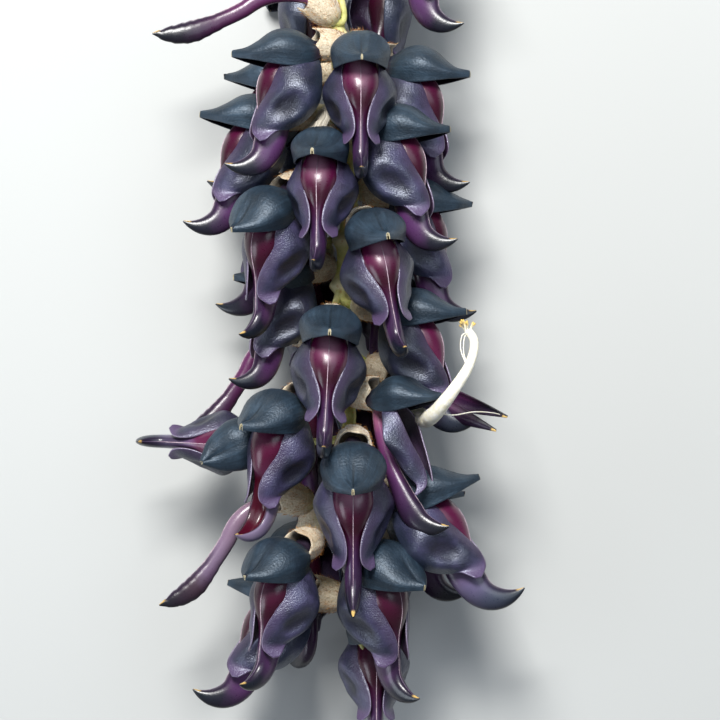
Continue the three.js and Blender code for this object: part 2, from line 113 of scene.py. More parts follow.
# Dried bracts, which hang from one knot
BRACT_KNOT = 98
BRACT_TIPS = [[-17, 73, 32], [-13, 76, 35], [-7.5, 83, 32]]
BRACT_BEND = [1, 4, 9]
BRACT_BEND_AT = 0.55
BRACT_HALF = 2.3
BRACT_ENDS = (0.12, 0.92)
BRACT_CUP = 0.9
BRACT_CELLS = (30, 12)
BRACT_SWELL = (0.9, 5)
BRACT_THICKNESS = 0.4

# Petals. Each goes on below its own start, into the calyx, by its root.
PETAL_THICKNESS = 0.75
PETAL_ROUND = 0.55
ROOT_REACH = 5

BANNER_START = 1.6
BANNER_LENGTH = 32
BANNER_ROOT = 0.14
BANNER_FOLD = 1.05
BANNER_TUCK = 0.3
BANNER_TUCK_POWER = 9
BANNER_SWELL = (0.5, 16)
CREASE_HEIGHT = 2.4
CREASE_HALF = 0.05
CREASE_FROM = 0.2
CREASE_FULL = 0.45

WING_ROOT = 0.08
WING_SWELL = (0.45, 14)
ROLLED_AWAY = 0.62

# Keels. One that has lost its curl turns to the slack heading, in degrees, from SLACK_FROM of its length.
KEEL_LENGTH = 60
KEEL_START = (3, 1.5)
KEEL_ROOT = 0.1
KEEL_LINE_STEPS = 24
KEEL_SQUARENESS = 0.9
SLACK_HEADING = 66
SLACK_FROM = 0.4
SUTURE_RADIUS = 0.14
SUTURE_SPAN = (0.12, 0.965)
SUTURE_STEPS = 70
SUTURE_SIDES = 6

# A keel whose tip has split open along its front
SPLIT_FROM = 0.44
SPLIT_SLOPE = 4
SPLIT_WIDER = 0.7
SPLIT_DEEP = 1.1
SPLIT_ANGLE = 0.55

# The two halves of the opened keel
HALF_CELLS = (44, 16)
HALF_BASE = 0.2
HALF_START = 1.8
HALF_LENGTH = 46
HALF_WIDTH = 7
HALF_TIP = 0.4
HALF_BOW = 0.45
HALF_APART = 0.8
HALF_SPREAD = 2.5

# The bared stamens beside bloom 17: the tube that joins them, its loose threads and the long style
STAMEN_ROUTE = [
    [18.5, -5, 3], [23, -13, 5], [27.5, -20.5, 17], [31, -20, 30], [36, -14, 38], [41, -7, 38.5],
    [44, -2, 36.5], [45.8, 3.5, 35], [45.8, 7.4, 34], [43.8, 10.4, 33],
]
STAMEN_STEPS = 60
STAMEN_SIDES = 18
STAMEN_COUNT = 11
STAMEN_SEED = 17
ANTHER_RINGS = slice(-4, -1)
ANTHER_RADIUS = 0.42
THREAD_RADIUS = 0.2
THREAD_STEPS = 14
THREAD_SIDES = 8
THREAD_SUNK = 0.6
THREAD_OFF_CENTRE = 0.9
THREAD_REACH = (2.2, 5)
THREAD_LEAN = 0.6
THREAD_SPREAD = (1.5, 1.2)
HANGING_STEPS = 30
HANGING_THREADS = [
    [[43.8, 10, 33.5], [41.6, 8.6, 34.5], [41.2, 3.6, 35], [43, -1.5, 37]],
    [[43.4, 10, 33], [42.4, 7.5, 34], [42.2, 2.6, 35.5], [43.6, -2.5, 37.5]],
]
STYLE_ROUTE = [[32.5, -18.5, 33], [38, -19.6, 33], [46, -18.6, 27], [53, -19, 21], [58.5, -20.4, 17]]
STYLE_RADIUS = 0.28
STYLE_STEPS = 40

# Where the tube ends and the free threads begin, on the way along that the colour follows
TUBE_SHARE = 0.9

# How finely petals and keels are divided, along and across
FRONT_CELLS = {"banner": (34, 44), "wing": (44, 24), "keel": (64, 32)}
UNDER_CELLS = {"banner": (20, 26), "wing": (28, 16), "keel": (40, 20)}
BLOOM_SEED = 100

# Soft unevenness. Each swell above says how far a surface moves and over what length.
SWELL_WAVES = 5
SWELL_LENGTHS = (0.7, 1.6)

# Directions that no tube and no hair runs in, to build their rings on
TUBE_OFF_AXIS = [0.31, 0.17, 0.94]
HAIR_OFF_AXIS = [0.3, 0.5, 0.81]

# Luck, from 0 to 1, shifts a bloom's colours. Pieces that belong to no bloom take this.
EVEN_LUCK = 0.5

# The floor, the lights (in metres) and the camera, which looks straight down on the raceme
FLOOR_REACH = 3000
FLOOR_LEVEL = -0.4
FLOOR_COLOUR = (0.46, 0.47, 0.46, 1)
FLOOR_ROUGHNESS = 0.7
LIGHTS = [
    {"name": "key", "place": (-0.15, 0.6, 1.0), "size": 0.36, "watts": 24, "tint": (1, 0.99, 0.97)},
    {"name": "sky", "place": (0.55, 0.3, 1.2), "size": 0.9, "watts": 5, "tint": (0.8, 0.89, 1)},
    {"name": "rim", "place": (-0.9, -0.4, 0.5), "size": 0.5, "watts": 4, "tint": (0.84, 0.91, 1)},
]
STUDIO_COLOUR = (0.84, 0.9, 1, 1)
STUDIO_STRENGTH = 0.19
CAMERA_BESIDE = 5.4
CAMERA_ABOVE = 1100
CAMERA_LENS = 150
CAMERA_SENSOR = 36


def profile(points):
    """A smooth curve through a few hand-set points (x, value), level beyond both ends."""
    x, y = np.array(points, float).T
    slope = np.gradient(y, x)
    slope[1:-1] = (y[2:] - y[:-2]) / (x[2:] - x[:-2])

    def curve(at):
        at = np.clip(at, x[0], x[-1])
        i = np.clip(np.searchsorted(x, at, side="right") - 1, 0, len(x) - 2)
        h = x[i + 1] - x[i]
        t = (at - x[i]) / h
        rise = y[i] * (2 * t**3 - 3 * t**2 + 1) + y[i + 1] * (3 * t**2 - 2 * t**3)
        return rise + h * (slope[i] * (t**3 - 2 * t**2 + t) + slope[i + 1] * (t**3 - t**2))

    return curve


# Petal outlines in a flower of full size: "out" leads away from the stem, "side" across the flower and
# "down" towards the raceme's point, all from the middle of the calyx mouth
banner_ridge = profile([
    [-0.14, -2.6], [0, -1.4], [0.2, -4.8], [0.36, -6], [0.53, -5], [0.7, -1.4], [0.84, 1], [1, 2.2],
])
banner_edge = profile([[-0.14, 2.6], [0, 5.4], [0.16, 7.6], [0.34, 8], [0.56, 7.2], [0.8, 5.6], [1, 4.2]])
banner_half = profile([
    [-0.14, 3.2], [0, 7], [0.12, 10.4], [0.28, 12.6], [0.5, 13], [0.78, 8.6], [0.92, 3.4], [1, 0.15],
])

wing_rear = {
    "out": profile([[0, 1.6], [0.16, 0.6], [0.45, 1.6], [0.66, 5.8], [0.82, 12], [0.92, 17.6], [1, 20.6]]),
    "down": profile([
        [0, 3.4], [0.16, 9.6], [0.45, 19.6], [0.66, 26.4], [0.82, 30.2], [0.92, 31.4], [1, 34.2],
    ]),
    "side": profile([[0, 2.4], [0.16, 6], [0.45, 7.8], [0.66, 7], [0.82, 5.4], [0.92, 6.4], [1, 7.6]]),
}
wing_front = {
    "out": profile([[0, 8], [0.16, 14.6], [0.45, 20], [0.66, 23.4], [0.82, 25.2], [0.92, 25.6], [1, 24.2]]),
    "down": profile([[0, 0.4], [0.16, 6.4], [0.45, 16.6], [0.66, 22.8], [0.82, 27.4], [0.92, 31], [1, 34.8]]),
    "side": profile([[0, 3], [0.16, 6.5], [0.45, 4.9], [0.66, 2.7], [0.82, 2.1], [0.92, 2.7], [1, 4.8]]),
}
wing_bulge = profile([[0, 0], [0.16, 2.6], [0.45, 7.6], [0.66, 6.8], [0.82, 3.2], [0.92, 0.6], [1, 0.1]])

# The dimple in each wing, in parts of its height and width, with its depth, and the tongue at the wing's end
DIMPLE = {"row": 0.6, "column": 0.54, "tall": 0.16, "wide": 0.25, "deep": 4.2}
TONGUE_FROM = 0.93
TONGUE_END = 1.01
TONGUE_COLUMN = 0.5

# Along a keel: its heading in degrees, and half its size from front to rear ("depth") and across ("half")
keel_heading = profile([[0, 28], [0.2, 54], [0.35, 80], [0.5, 82], [0.68, 66], [0.82, 18], [1, -34]])
loose_heading = profile([[0, 88], [0.2, 72], [0.5, 60], [0.7, 52], [0.84, 12], [1, -24]])
keel_depth = profile([[0, 3], [0.14, 6.2], [0.3, 8], [0.48, 6.2], [0.66, 5.6], [0.84, 3.8], [1, 0.3]])
keel_half = profile([
    [0, 2.8], [0.14, 5.6], [0.28, 7.2], [0.4, 5.2], [0.5, 3.2], [0.66, 2.9], [0.84, 2.4], [1, 0.3],
])
bare_depth = profile([[0, 2.2], [0.25, 3], [0.56, 2.9], [0.76, 3.9], [0.9, 2.8], [1, 0.3]])
bare_half = profile([[0, 2], [0.25, 2.5], [0.56, 2.2], [0.76, 2.5], [0.9, 1.7], [1, 0.3]])
loose_depth = profile([[0, 1.5], [0.2, 2.2], [0.42, 2.7], [0.62, 4], [0.76, 4.6], [0.9, 2.8], [1, 0.3]])
loose_half = profile([[0, 1.6], [0.2, 2.2], [0.42, 2.3], [0.62, 2.9], [0.76, 2.9], [0.9, 1.8], [1, 0.3]])
suture_width = profile([[0.12, 0.3], [0.3, 1], [0.7, 1], [0.96, 0.5]])
half_down = {1: profile([[0, 1], [0.35, 6.5], [1, 10]]), -1: profile([[0, 0], [0.35, 3.4], [1, 5]])}
calyx_outer = profile([[0, 0.9], [0.05, 2.2], [0.18, 4.0], [0.42, 5.5], [0.75, 6.2], [1, 6.3]])
stamen_tube_radius = profile([[0, 1.8], [0.32, 3.2], [0.58, 2.6], [0.82, 1.8], [1, 1.5]])

# The blooms seen from above: the middle of each calyx mouth, beside, along and above the stem's line,
# and how the bloom is turned there, in degrees. Some have lost curl, banner and wings (bare), one wing's
# rear (rolled) or the join of the keel (opened, split). "keel" names a colour other than the young one,
# or "facing", the young colour with a stronger painted highlight on the bulb for blooms that face the
# camera, and "banner" holds what is different for the banner alone.
BLOOMS = [
    {"id": "01", "at": [15, 168, 12], "yaw": 72, "tilt": 8},
    {"id": "02", "at": [-11, 131, 5], "yaw": -80, "tilt": -44, "curl": 0.3, "bare": True, "keel": "dull"},
    {"id": "03", "at": [-9, 113, 22], "yaw": -79, "tilt": 1},
    {"id": "04", "at": [5, 112, 25], "yaw": 2, "tilt": 6, "size": 0.98, "keel": "facing"},
    {"id": "05", "at": [15, 110, -2], "yaw": 74, "tilt": 5},
    {"id": "06", "at": [7, 86, 21], "yaw": 73, "tilt": 1},
    {"id": "08", "at": [15, 62, 0], "yaw": 92, "tilt": 3},
    {"id": "09", "at": [-7, 78, 24], "yaw": -8, "tilt": 4, "size": 0.97, "keel": "facing"},
    {"id": "10", "at": [-21, 61, 17], "yaw": -41, "tilt": 22, "roll": -10},
    {"id": "11", "at": [-21, 90, 6], "yaw": -80, "tilt": -4},
    {"id": "12", "at": [-13, 106, -11], "yaw": -92, "tilt": -4},
    {"id": "13", "at": [7, 49, 24], "yaw": 14, "tilt": 5, "roll": 10, "keel": "facing"},
    {"id": "14", "at": [13, 20, 9], "yaw": 74, "tilt": -1, "keel": "lilac"},
    {"id": "15", "at": [-5, 14, 24], "yaw": 0, "tilt": 2, "roll": -3, "size": 1.02, "keel": "facing"},
    {"id": "16", "at": [9, -12, 20], "yaw": 65, "tilt": 4, "rolled": 1, "keel": "loose",
     "banner": {"tilt": -4, "size": 0.88}},
    {"id": "17", "at": [17, -4, 2], "yaw": 62, "tilt": 14, "opened": True, "keel": "dull"},
    {"id": "19", "at": [-28, -31, 0], "yaw": -28, "tilt": 0, "roll": -92, "size": 0.88, "keel": "lilac",
     "banner": {"at": [-27, -25, 13], "yaw": -67, "tilt": 24, "roll": -80}},
    {"id": "20", "at": [-17, -14, 20], "yaw": -38, "tilt": 12, "roll": -10, "split": 1, "keel": "split"},
    {"id": "21", "at": [-22, -50, 2], "yaw": -80, "tilt": -15, "curl": 0.4, "bare": True, "keel": "faded"},
    {"id": "22", "at": [-16, -67, 20], "yaw": -38, "tilt": 12, "roll": -9},
    {"id": "23", "at": [3, -31, 26], "yaw": 0, "tilt": 20, "size": 1.08, "curl": 0.75, "keel": "facing"},
    {"id": "24", "at": [5, -67, 14], "yaw": 46, "tilt": 18, "roll": 10, "size": 1.08},
    {"id": "25", "at": [14, -49, 15], "yaw": 85, "tilt": -17, "size": 1.1, "keel": "lilac"},
    {"id": "26", "at": [15, -45, -9], "yaw": 88, "tilt": 3, "size": 0.92},
    {"id": "27", "at": [10, -95, -15], "yaw": 4, "tilt": 6},
    {"id": "28", "at": [-13, 63, -10], "yaw": -97, "tilt": 0},
    {"id": "29", "at": [-13, 34, -5], "yaw": -67, "tilt": 2, "size": 0.94},
    {"id": "31", "at": [-16, 11, -14], "yaw": -80, "tilt": -15, "curl": 0.4, "bare": True, "keel": "dull"},
    {"id": "32", "at": [-10, -86, -6], "yaw": -84, "tilt": -13, "size": 1.05},
]

# The blooms underneath spring by a rule: two rows, left and right, pressed outwards by the surface
UNDER_ROWS = [(-1, [149, 88, 38, -10, -62]), (1, [150, 95, 44, -7, -64])]
UNDER_YAW = 143
UNDER_YAW_SPREAD = 10
UNDER_REACH = 12
UNDER_DROP = -20
UNDER_TILT = 20
UNDER_TILT_SPREAD = 8
UNDER_SEED = 11
DRAW_FACTOR = 16807
DRAW_MODULUS = 2147483647


def seeded(state):
    """The model's own draw of numbers from 0 to 1."""
    while True:
        state = state * DRAW_FACTOR % DRAW_MODULUS
        yield state / DRAW_MODULUS


def under_blooms():
    draw = seeded(UNDER_SEED)
    blooms = []
    for hand, levels in UNDER_ROWS:
        for i, level in enumerate(levels):
            blooms.append({
                "id": f"under_{'left' if hand < 0 else 'right'}_{i + 1}",
                "at": [hand * UNDER_REACH, level, UNDER_DROP],
                "yaw": hand * (UNDER_YAW + UNDER_YAW_SPREAD * next(draw)),
                "tilt": UNDER_TILT + UNDER_TILT_SPREAD * next(draw),
            })
    return blooms


ALL_BLOOMS = BLOOMS + under_blooms()


def lerp(a, b, t):
    return a + (b - a) * t


def rim_spaced(cells, start=0.0):
    """start to 1 in steps that are finer near both ends, where a petal's rim is rounded."""
    return lerp(start, 1, 0.5 - 0.5 * np.cos(np.pi * np.arange(cells + 1) / cells))


def petal_grid(cells, start=0.0):
    """The places along and across a petal at the corners of its cells."""
    return np.meshgrid(rim_spaced(cells[0], start), rim_spaced(cells[1]), indexing="ij")


def unit(vectors):
    length = np.linalg.norm(vectors, axis=-1, keepdims=True)
    return vectors / np.maximum(length, 1e-9)


def bloom_axes(bloom):
    """A bloom's own out, side and down, as the rows of a matrix, to the bloom's size."""
    yaw, tilt, roll = (math.radians(bloom.get(turn, 0)) for turn in ("yaw", "tilt", "roll"))
    level = math.cos(tilt)
    out = np.array([math.sin(yaw) * level, -math.sin(tilt), math.cos(yaw) * level])
    down = unit(np.array([0, -1, 0]) - math.sin(tilt) * out)
    down = down * math.cos(roll) + np.cross(out, down) * math.sin(roll)
    return np.array([out, np.cross(down, out), down]) * bloom.get("size", 1)


def placed(bloom, out, side, down):
    """Points of a bloom, carried from its own axes to the part's frame."""
    own = np.stack(np.broadcast_arrays(out, side, down), -1).astype(float)
    return own @ bloom_axes(bloom) + np.array(bloom["at"]) + SHIFT


def rested(points, above):
    """Points pressed flat where they would sink into the surface that the raceme lies on."""
    flat = points.copy()
    flat[..., 2] = np.maximum(flat[..., 2], above)
    return flat


def add_object(name, data):
    made = bpy.data.objects.new(name, data)
    scene.collection.objects.link(made)
    return made


def make_piece(name, shape, look, node):
    """A mesh piece in metres that rides on the part and stands for a node."""
    points, faces, marks = shape
    mesh = bpy.data.meshes.new(name)
    mesh.from_pydata((points * MM).tolist(), [], faces)
    for mark, values in marks.items():
        kind = "FLOAT_VECTOR" if values.ndim == 2 else "FLOAT"
        field = "vector" if values.ndim == 2 else "value"
        mesh.attributes.new(mark, kind, "POINT").data.foreach_set(field, values.astype(np.float32).ravel())
    mesh.shade_smooth()
    mesh.materials.append(MATERIALS[look])
    piece = add_object(name, mesh)
    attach(piece, "root")
    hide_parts(node)


def merged(parts):
    """Several (points, faces, marks) as one."""
    faces = []
    start = 0
    for points, part_faces, _ in parts:
        faces += [[start + corner for corner in face] for face in part_faces]
        start += len(points)
    marks = {mark: np.concatenate([part[2][mark] for part in parts]) for mark in parts[0][2]}
    return np.concatenate([part[0] for part in parts]), faces, marks


def rim_distance(middle):
    """How far each point of a grid lies from its rim, in mm."""
    reach = []
    for axis in (0, 1):
        steps = np.linalg.norm(np.diff(middle, axis=axis), axis=-1)
        pad = [(0, 0), (0, 0)]
        pad[axis] = (1, 0)
        run = np.cumsum(np.pad(steps, pad), axis=axis)
        whole = run[-1:] if axis == 0 else run[:, -1:]
        reach += [run, whole - run]
    return np.min(reach, axis=0)


def blade(middle, t, across, luck, thickness=PETAL_THICKNESS, inner=0):
    """A closed petal round a grid of points: both faces meet in a rounded rim. With inner 1, the face
    that the grid turns to is marked as the petal's inner one."""
    rows, columns = middle.shape[:2]
    normal = grid_normal(middle)
    edge = rim_distance(middle)
    round_off = np.clip(edge / PETAL_ROUND, 0, 1)
    half = thickness / 2 * np.sqrt(np.maximum(round_off * (2 - round_off), 0))
    upper = rested(middle + normal * half[..., None], 0)
    lower = rested(middle - normal * half[..., None], 0)
    front = np.arange(rows * columns).reshape(rows, columns)
    back = front.copy()
    within = (rows - 2) * (columns - 2)
    back[1:-1, 1:-1] = rows * columns + np.arange(within).reshape(rows - 2, columns - 2)
    faces = []
    for sheet, turned in ((front, False), (back, True)):
        corners = (sheet[:-1, :-1], sheet[1:, :-1], sheet[1:, 1:], sheet[:-1, 1:])
        a, b, c, d = (corner.ravel() for corner in corners)
        quads = np.stack([a, d, c, b] if turned else [a, b, c, d], -1)
        faces += quads.tolist()
    points = np.concatenate([upper.reshape(-1, 3), lower[1:-1, 1:-1].reshape(-1, 3)])
    place = np.stack([t, across, np.full_like(t, inner)], -1)
    under = np.stack([t, across, np.full_like(t, 1 - inner)], -1)
    marks = {
        "place": np.concatenate([place.reshape(-1, 3), under[1:-1, 1:-1].reshape(-1, 3)]),
        "edge": np.concatenate([edge.ravel(), edge[1:-1, 1:-1].ravel()]),
        "luck": np.full(len(points), luck),
    }
    return points, faces, marks


def loft(rings, t, luck):
    """A closed body through rings of points, shut by a point at both ends. Its marks hold the way along
    it, how near a point is to the ring's start (0.5) or to the opposite side (0), and on which hand."""
    count, sides = rings.shape[:2]
    index = np.arange(count * sides).reshape(count, sides)
    following = np.roll(index, -1, axis=1)
    quads = np.stack([index[:-1], following[:-1], following[1:], index[1:]], -1).reshape(-1, 4)
    first, last = count * sides, count * sides + 1
    faces = quads.tolist()
    faces += [[first, b, a] for a, b in zip(index[0], following[0])]
    faces += [[last, a, b] for a, b in zip(index[-1], following[-1])]
    points = np.concatenate([rings.reshape(-1, 3), rings[:1].mean(axis=1), rings[-1:].mean(axis=1)])
    turn = np.arange(sides) / sides
    nearness = np.abs(turn - 0.5)
    hand = np.sin(2 * np.pi * turn)
    place = np.stack(np.broadcast_arrays(t[:, None], nearness, hand), -1).reshape(-1, 3)
    place = np.concatenate([place, [[t[0], 0, 0], [t[-1], 0, 0]]])
    marks = {"place": place, "edge": np.ones(len(points)), "luck": np.full(len(points), luck)}
    return points, faces, marks


def tube(line, radius, sides, t, luck):
    """A round closed tube along a line of points, with a radius for each."""
    ahead = unit(np.gradient(line, axis=0))
    across = unit(np.cross(ahead, TUBE_OFF_AXIS))
    other = np.cross(ahead, across)
    angle = 2 * np.pi * np.arange(sides)[None, :, None] / sides
    reach = np.broadcast_to(np.asarray(radius, float), len(line))[:, None, None]
    rings = line[:, None] + reach * (np.cos(angle) * across[:, None] + np.sin(angle) * other[:, None])
    return loft(rings, t, luck)


def smooth_line(route, count):
    """A curve through the points of a route, by their running length."""
    route = np.array(route, float)
    run = np.concatenate([[0], np.cumsum(np.linalg.norm(np.diff(route, axis=0), axis=1))])
    at = np.linspace(0, run[-1], count)
    return np.stack([profile(np.stack([run, route[:, i]], -1))(at) for i in range(3)], -1)


def swell(points, normal, rng, amount, length):
    """Points moved along their normals by a soft, seeded unevenness."""
    total = np.zeros(points.shape[:-1])
    for _ in range(SWELL_WAVES):
        wave = unit(rng.normal(size=3)) * 2 * np.pi / (length * rng.uniform(*SWELL_LENGTHS))
        total += np.sin(points @ wave + rng.uniform(0, 2 * np.pi))
    return points + normal * (amount * total / SWELL_WAVES)[..., None]


def grid_normal(points):
    return unit(np.cross(np.gradient(points, axis=0), np.gradient(points, axis=1)))


def banner_part(bloom, cells, rng, luck):
    """The banner: a petal folded over the others, with a crease along its ridge."""
    t, across = petal_grid(cells, -BANNER_ROOT)
    angle = (across - 0.5) * np.pi
    crown = np.maximum(np.cos(angle), 0) ** BANNER_FOLD
    crease = CREASE_HEIGHT * np.exp(-((across - 0.5) / CREASE_HALF) ** 2)
    crease = crease * np.clip(t - CREASE_FROM, 0, CREASE_FULL)
    turned_in = np.sin(angle) - BANNER_TUCK * np.sin(angle) ** BANNER_TUCK_POWER
    middle = placed(
        bloom,
        lerp(BANNER_START, BANNER_LENGTH, t),
        banner_half(t) * turned_in,
        lerp(banner_edge(t), banner_ridge(t), crown) + crease,
    )
    middle = rested(swell(middle, grid_normal(middle), rng, *BANNER_SWELL), PETAL_THICKNESS / 2)
    return blade(middle, t, across, luck, inner=1)


def wing_part(bloom, hand, cells, rng, luck):
    """One wing: a bulging pad with a dimple and a tongue at its end."""
    t, blade_across = petal_grid(cells, -WING_ROOT)
    across = lerp(ROLLED_AWAY if bloom.get("rolled") == hand else 0, 1, blade_across)
    back = ROOT_REACH * np.minimum(t, 0) / WING_ROOT
    past = np.clip((t - TONGUE_FROM) / (TONGUE_END - TONGUE_FROM), 0, 1)
    across = lerp(TONGUE_COLUMN, across, np.sqrt(1 - past**2))
    off_centre = np.hypot((t - DIMPLE["row"]) / DIMPLE["tall"], (across - DIMPLE["column"]) / DIMPLE["wide"])
    bulge = wing_bulge(t) * (1 - (2 * across - 1) ** 2) - DIMPLE["deep"] * np.exp(-(off_centre**3))
    middle = placed(
        bloom,
        lerp(wing_rear["out"](t), wing_front["out"](t), across) + back,
        hand * (lerp(wing_rear["side"](t), wing_front["side"](t), across) + bulge),
        lerp(wing_rear["down"](t), wing_front["down"](t), across),
    )
    middle = rested(swell(middle, grid_normal(middle), rng, *WING_SWELL), PETAL_THICKNESS / 2)
    return blade(middle, t, across, luck, inner=0 if hand > 0 else 1)


def keel_line(bloom, t):
    """Where a bloom's keel has its middle line at t, out and down, and its heading there."""
    part = np.arange(KEEL_LINE_STEPS) / KEEL_LINE_STEPS
    step = KEEL_LENGTH * t / KEEL_LINE_STEPS

    def heading(at):
        bend = loose_heading(at) if bloom.get("rolled") else keel_heading(at)
        slack = lerp(SLACK_HEADING, bend, bloom.get("curl", 1))
        return np.radians(np.where(at > SLACK_FROM, slack, bend))

    bends = heading(t[:, None] * part)
    out = KEEL_START[0] + step * np.cos(bends).sum(axis=1)
    down = KEEL_START[1] + step * np.sin(bends).sum(axis=1)
    return out, down, heading(t)


def keel_parts(bloom, cells, luck):
    """The keel's body and the pale suture along its front."""
    t = np.concatenate([[-KEEL_ROOT], rim_spaced(cells[0])])
    rows = np.maximum(t, 0)
    out, down, heading = keel_line(bloom, rows)
    out = out + ROOT_REACH * np.minimum(t, 0) / KEEL_ROOT
    angle = 2 * np.pi * np.arange(cells[1])[None] / cells[1]
    depth_at, half_at = keel_depth, keel_half
    if bloom.get("bare"):
        depth_at, half_at = bare_depth, bare_half
    if bloom.get("rolled"):
        depth_at, half_at = loose_depth, loose_half
    opened = bloom.get("split", 0) * np.clip((rows - SPLIT_FROM) * SPLIT_SLOPE, 0, 1)[:, None]
    depth = depth_at(rows)[:, None]
    half = half_at(rows)[:, None] * (1 + SPLIT_WIDER * opened)
    turn = np.minimum(angle, 2 * np.pi - angle)
    front = np.sign(np.cos(angle)) * np.abs(np.cos(angle)) ** KEEL_SQUARENESS
    front = front - SPLIT_DEEP * opened * np.exp(-((turn / SPLIT_ANGLE) ** 2))
    side = half * np.sign(np.sin(angle)) * np.abs(np.sin(angle)) ** KEEL_SQUARENESS
    rings = placed(
        bloom,
        out[:, None] + depth * front * np.sin(heading)[:, None],
        side,
        down[:, None] - depth * front * np.cos(heading)[:, None],
    )
    body = loft(rested(rings, 0), t, luck)
    seam_t = np.linspace(*SUTURE_SPAN, SUTURE_STEPS)
    out, down, heading = keel_line(bloom, seam_t)
    depth = depth_at(seam_t)
    line = placed(bloom, out + depth * np.sin(heading), np.zeros_like(out), down - depth * np.cos(heading))
    width = SUTURE_RADIUS * suture_width(seam_t)
    suture = tube(rested(line, SUTURE_RADIUS), width, SUTURE_SIDES, seam_t, luck)
    return body, suture


def half_keel_part(bloom, hand, luck):
    """Half of an opened keel: a narrow boat-shaped blade that flattens towards its tip."""
    t, across = petal_grid(HALF_CELLS)
    half = HALF_TIP + HALF_WIDTH / 2 * np.sin(np.pi * lerp(HALF_BASE, 1, t))
    place = 2 * across - 1
    bow = HALF_BOW * half * (1 - place**2)
    middle = placed(
        bloom,
        HALF_START + HALF_LENGTH * t,
        hand * (HALF_APART + HALF_SPREAD * t + bow),
        half_down[hand](t) + half * place,
    )
    return blade(middle, t, across, luck)


stem_line = smooth_line(STEM_ROUTE, STEM_LINE_STEPS)


def stem_at(y):
    """The middle of the stem at a level along it."""
    rising = stem_line[::-1]
    return np.array([np.interp(y, rising[:, 1], rising[:, i]) for i in range(3)])


def knot_of(place):
    return min(KNOT_LEVELS, key=lambda y: abs(y - place[1] - KNOT_ABOVE))


def stem_part(rng):
    """The stem with its knots, blunt at the cut and drawn to a point at the other end."""
    y = np.linspace(STEM_ROUTE[0][1], STEM_ROUTE[-1][1], STEM_RINGS)
    t = (y[0] - y) / (y[0] - y[-1])
    centre = np.array([stem_at(level) for level in y])
    radius = lerp(STEM_RADIUS_TOP, STEM_RADIUS_END, t)
    knot = np.zeros_like(y)
    for level in KNOT_LEVELS:
        knot = np.maximum(knot, np.exp(-((y - level) / (KNOT_SPREAD * KNOT_HEIGHT)) ** 2))
    radius = lerp(radius, KNOT_RADIUS, KNOT_FULLNESS * knot)
    radius = radius * np.sqrt(np.clip((y - y[-1]) / STEM_POINT, STEM_BLUNT, 1))
    angle = 2 * np.pi * np.arange(STEM_SIDES) / STEM_SIDES
    reach = np.stack([np.cos(angle), np.zeros_like(angle), np.sin(angle)], -1)
    rings = centre[:, None] + SHIFT + radius[:, None, None] * reach
    rings = swell(rings, np.broadcast_to(reach, rings.shape), rng, *STEM_SWELL)
    points, faces, marks = loft(rings, t, EVEN_LUCK)
    marks["edge"] = np.concatenate([np.repeat(knot, STEM_SIDES), [0, 0]])
    return points, faces, marks


def pedicel_line(bloom):
    """A curve from a knot to the base of a bloom's calyx."""
    axes = bloom_axes(bloom)
    mouth = np.array(bloom["at"])
    base = mouth + np.array([PEDICEL_SUNK - CALYX_LENGTH, 0, 0]) @ axes
    bend = mouth + (np.array(PEDICEL_BEND) - [CALYX_LENGTH, 0, 0]) @ axes
    root = stem_at(knot_of(base))
    towards = (base - root) * [1, 0, 1]
    root = root + unit(towards) * STEM_RADIUS_END
    t = np.linspace(0, 1, PEDICEL_STEPS)[:, None]
    return (1 - t) ** 2 * root + 2 * t * (1 - t) * bend + t**2 * base + SHIFT


def pedicel_part(bloom, luck):
    line = pedicel_line(bloom)
    t = np.linspace(0, 1, len(line))
    at_stem = PEDICEL_FLARE_AT_STEM * np.exp(-(t / PEDICEL_FLARE_REACH) ** 2)
    at_calyx = PEDICEL_FLARE_AT_CALYX * np.exp(-((1 - t) / PEDICEL_FLARE_REACH) ** 2)
    return tube(line, PEDICEL_RADIUS * (1 + at_stem + at_calyx), PEDICEL_SIDES, t, luck)


def calyx_lobes(angle):
    """How far each of the pointed lobes of a calyx rises, from 0 to 1."""
    return (0.5 + 0.5 * np.cos(LOBES * angle + LOBE_TURN)) ** LOBE_SHARPNESS


def calyx_surface(bloom, s, angle):
    """A place on a calyx's outside, from its base (s is 0) to its wavy lip (1)."""
    raised = np.clip((s - LOBES_FROM) / (1 - LOBES_FROM), 0, 1)
    lip = CALYX_LIP + LOBE_HEIGHT * calyx_lobes(angle) * raised
    radius = calyx_outer(s) * (1 + RIB_HEIGHT * np.cos(RIBS * angle) * np.clip(s * CALYX_EASE, 0, 1))
    return placed(bloom, lerp(-CALYX_LENGTH, lip, s), radius * np.cos(angle), radius * np.sin(angle))


def calyx_part(bloom, luck):
    """A calyx cup: its outside, then its lip and its inside down to the floor."""
    angle = 2 * np.pi * np.arange(CALYX_SIDES) / CALYX_SIDES
    s = np.linspace(0, 1, CALYX_RINGS)
    outer = calyx_surface(bloom, s[:, None], angle[None])
    lobes = CALYX_LIP + LOBE_HEIGHT * calyx_lobes(angle)
    inside, kept = np.array(CALYX_INSIDE, float).T[..., None]
    radius = lerp(calyx_outer(1.0) - CALYX_WALL, CALYX_BORE, np.minimum(inside * CALYX_EASE, 1)) * kept
    radius[0] = calyx_outer(1.0) - CALYX_LIP_WALL
    inner = placed(bloom, lerp(lobes, -CALYX_DEPTH, inside), radius * np.cos(angle), radius * np.sin(angle))
    t = np.concatenate([s, 1 + inside[:, 0]])
    return loft(np.concatenate([outer, inner]), t, luck)


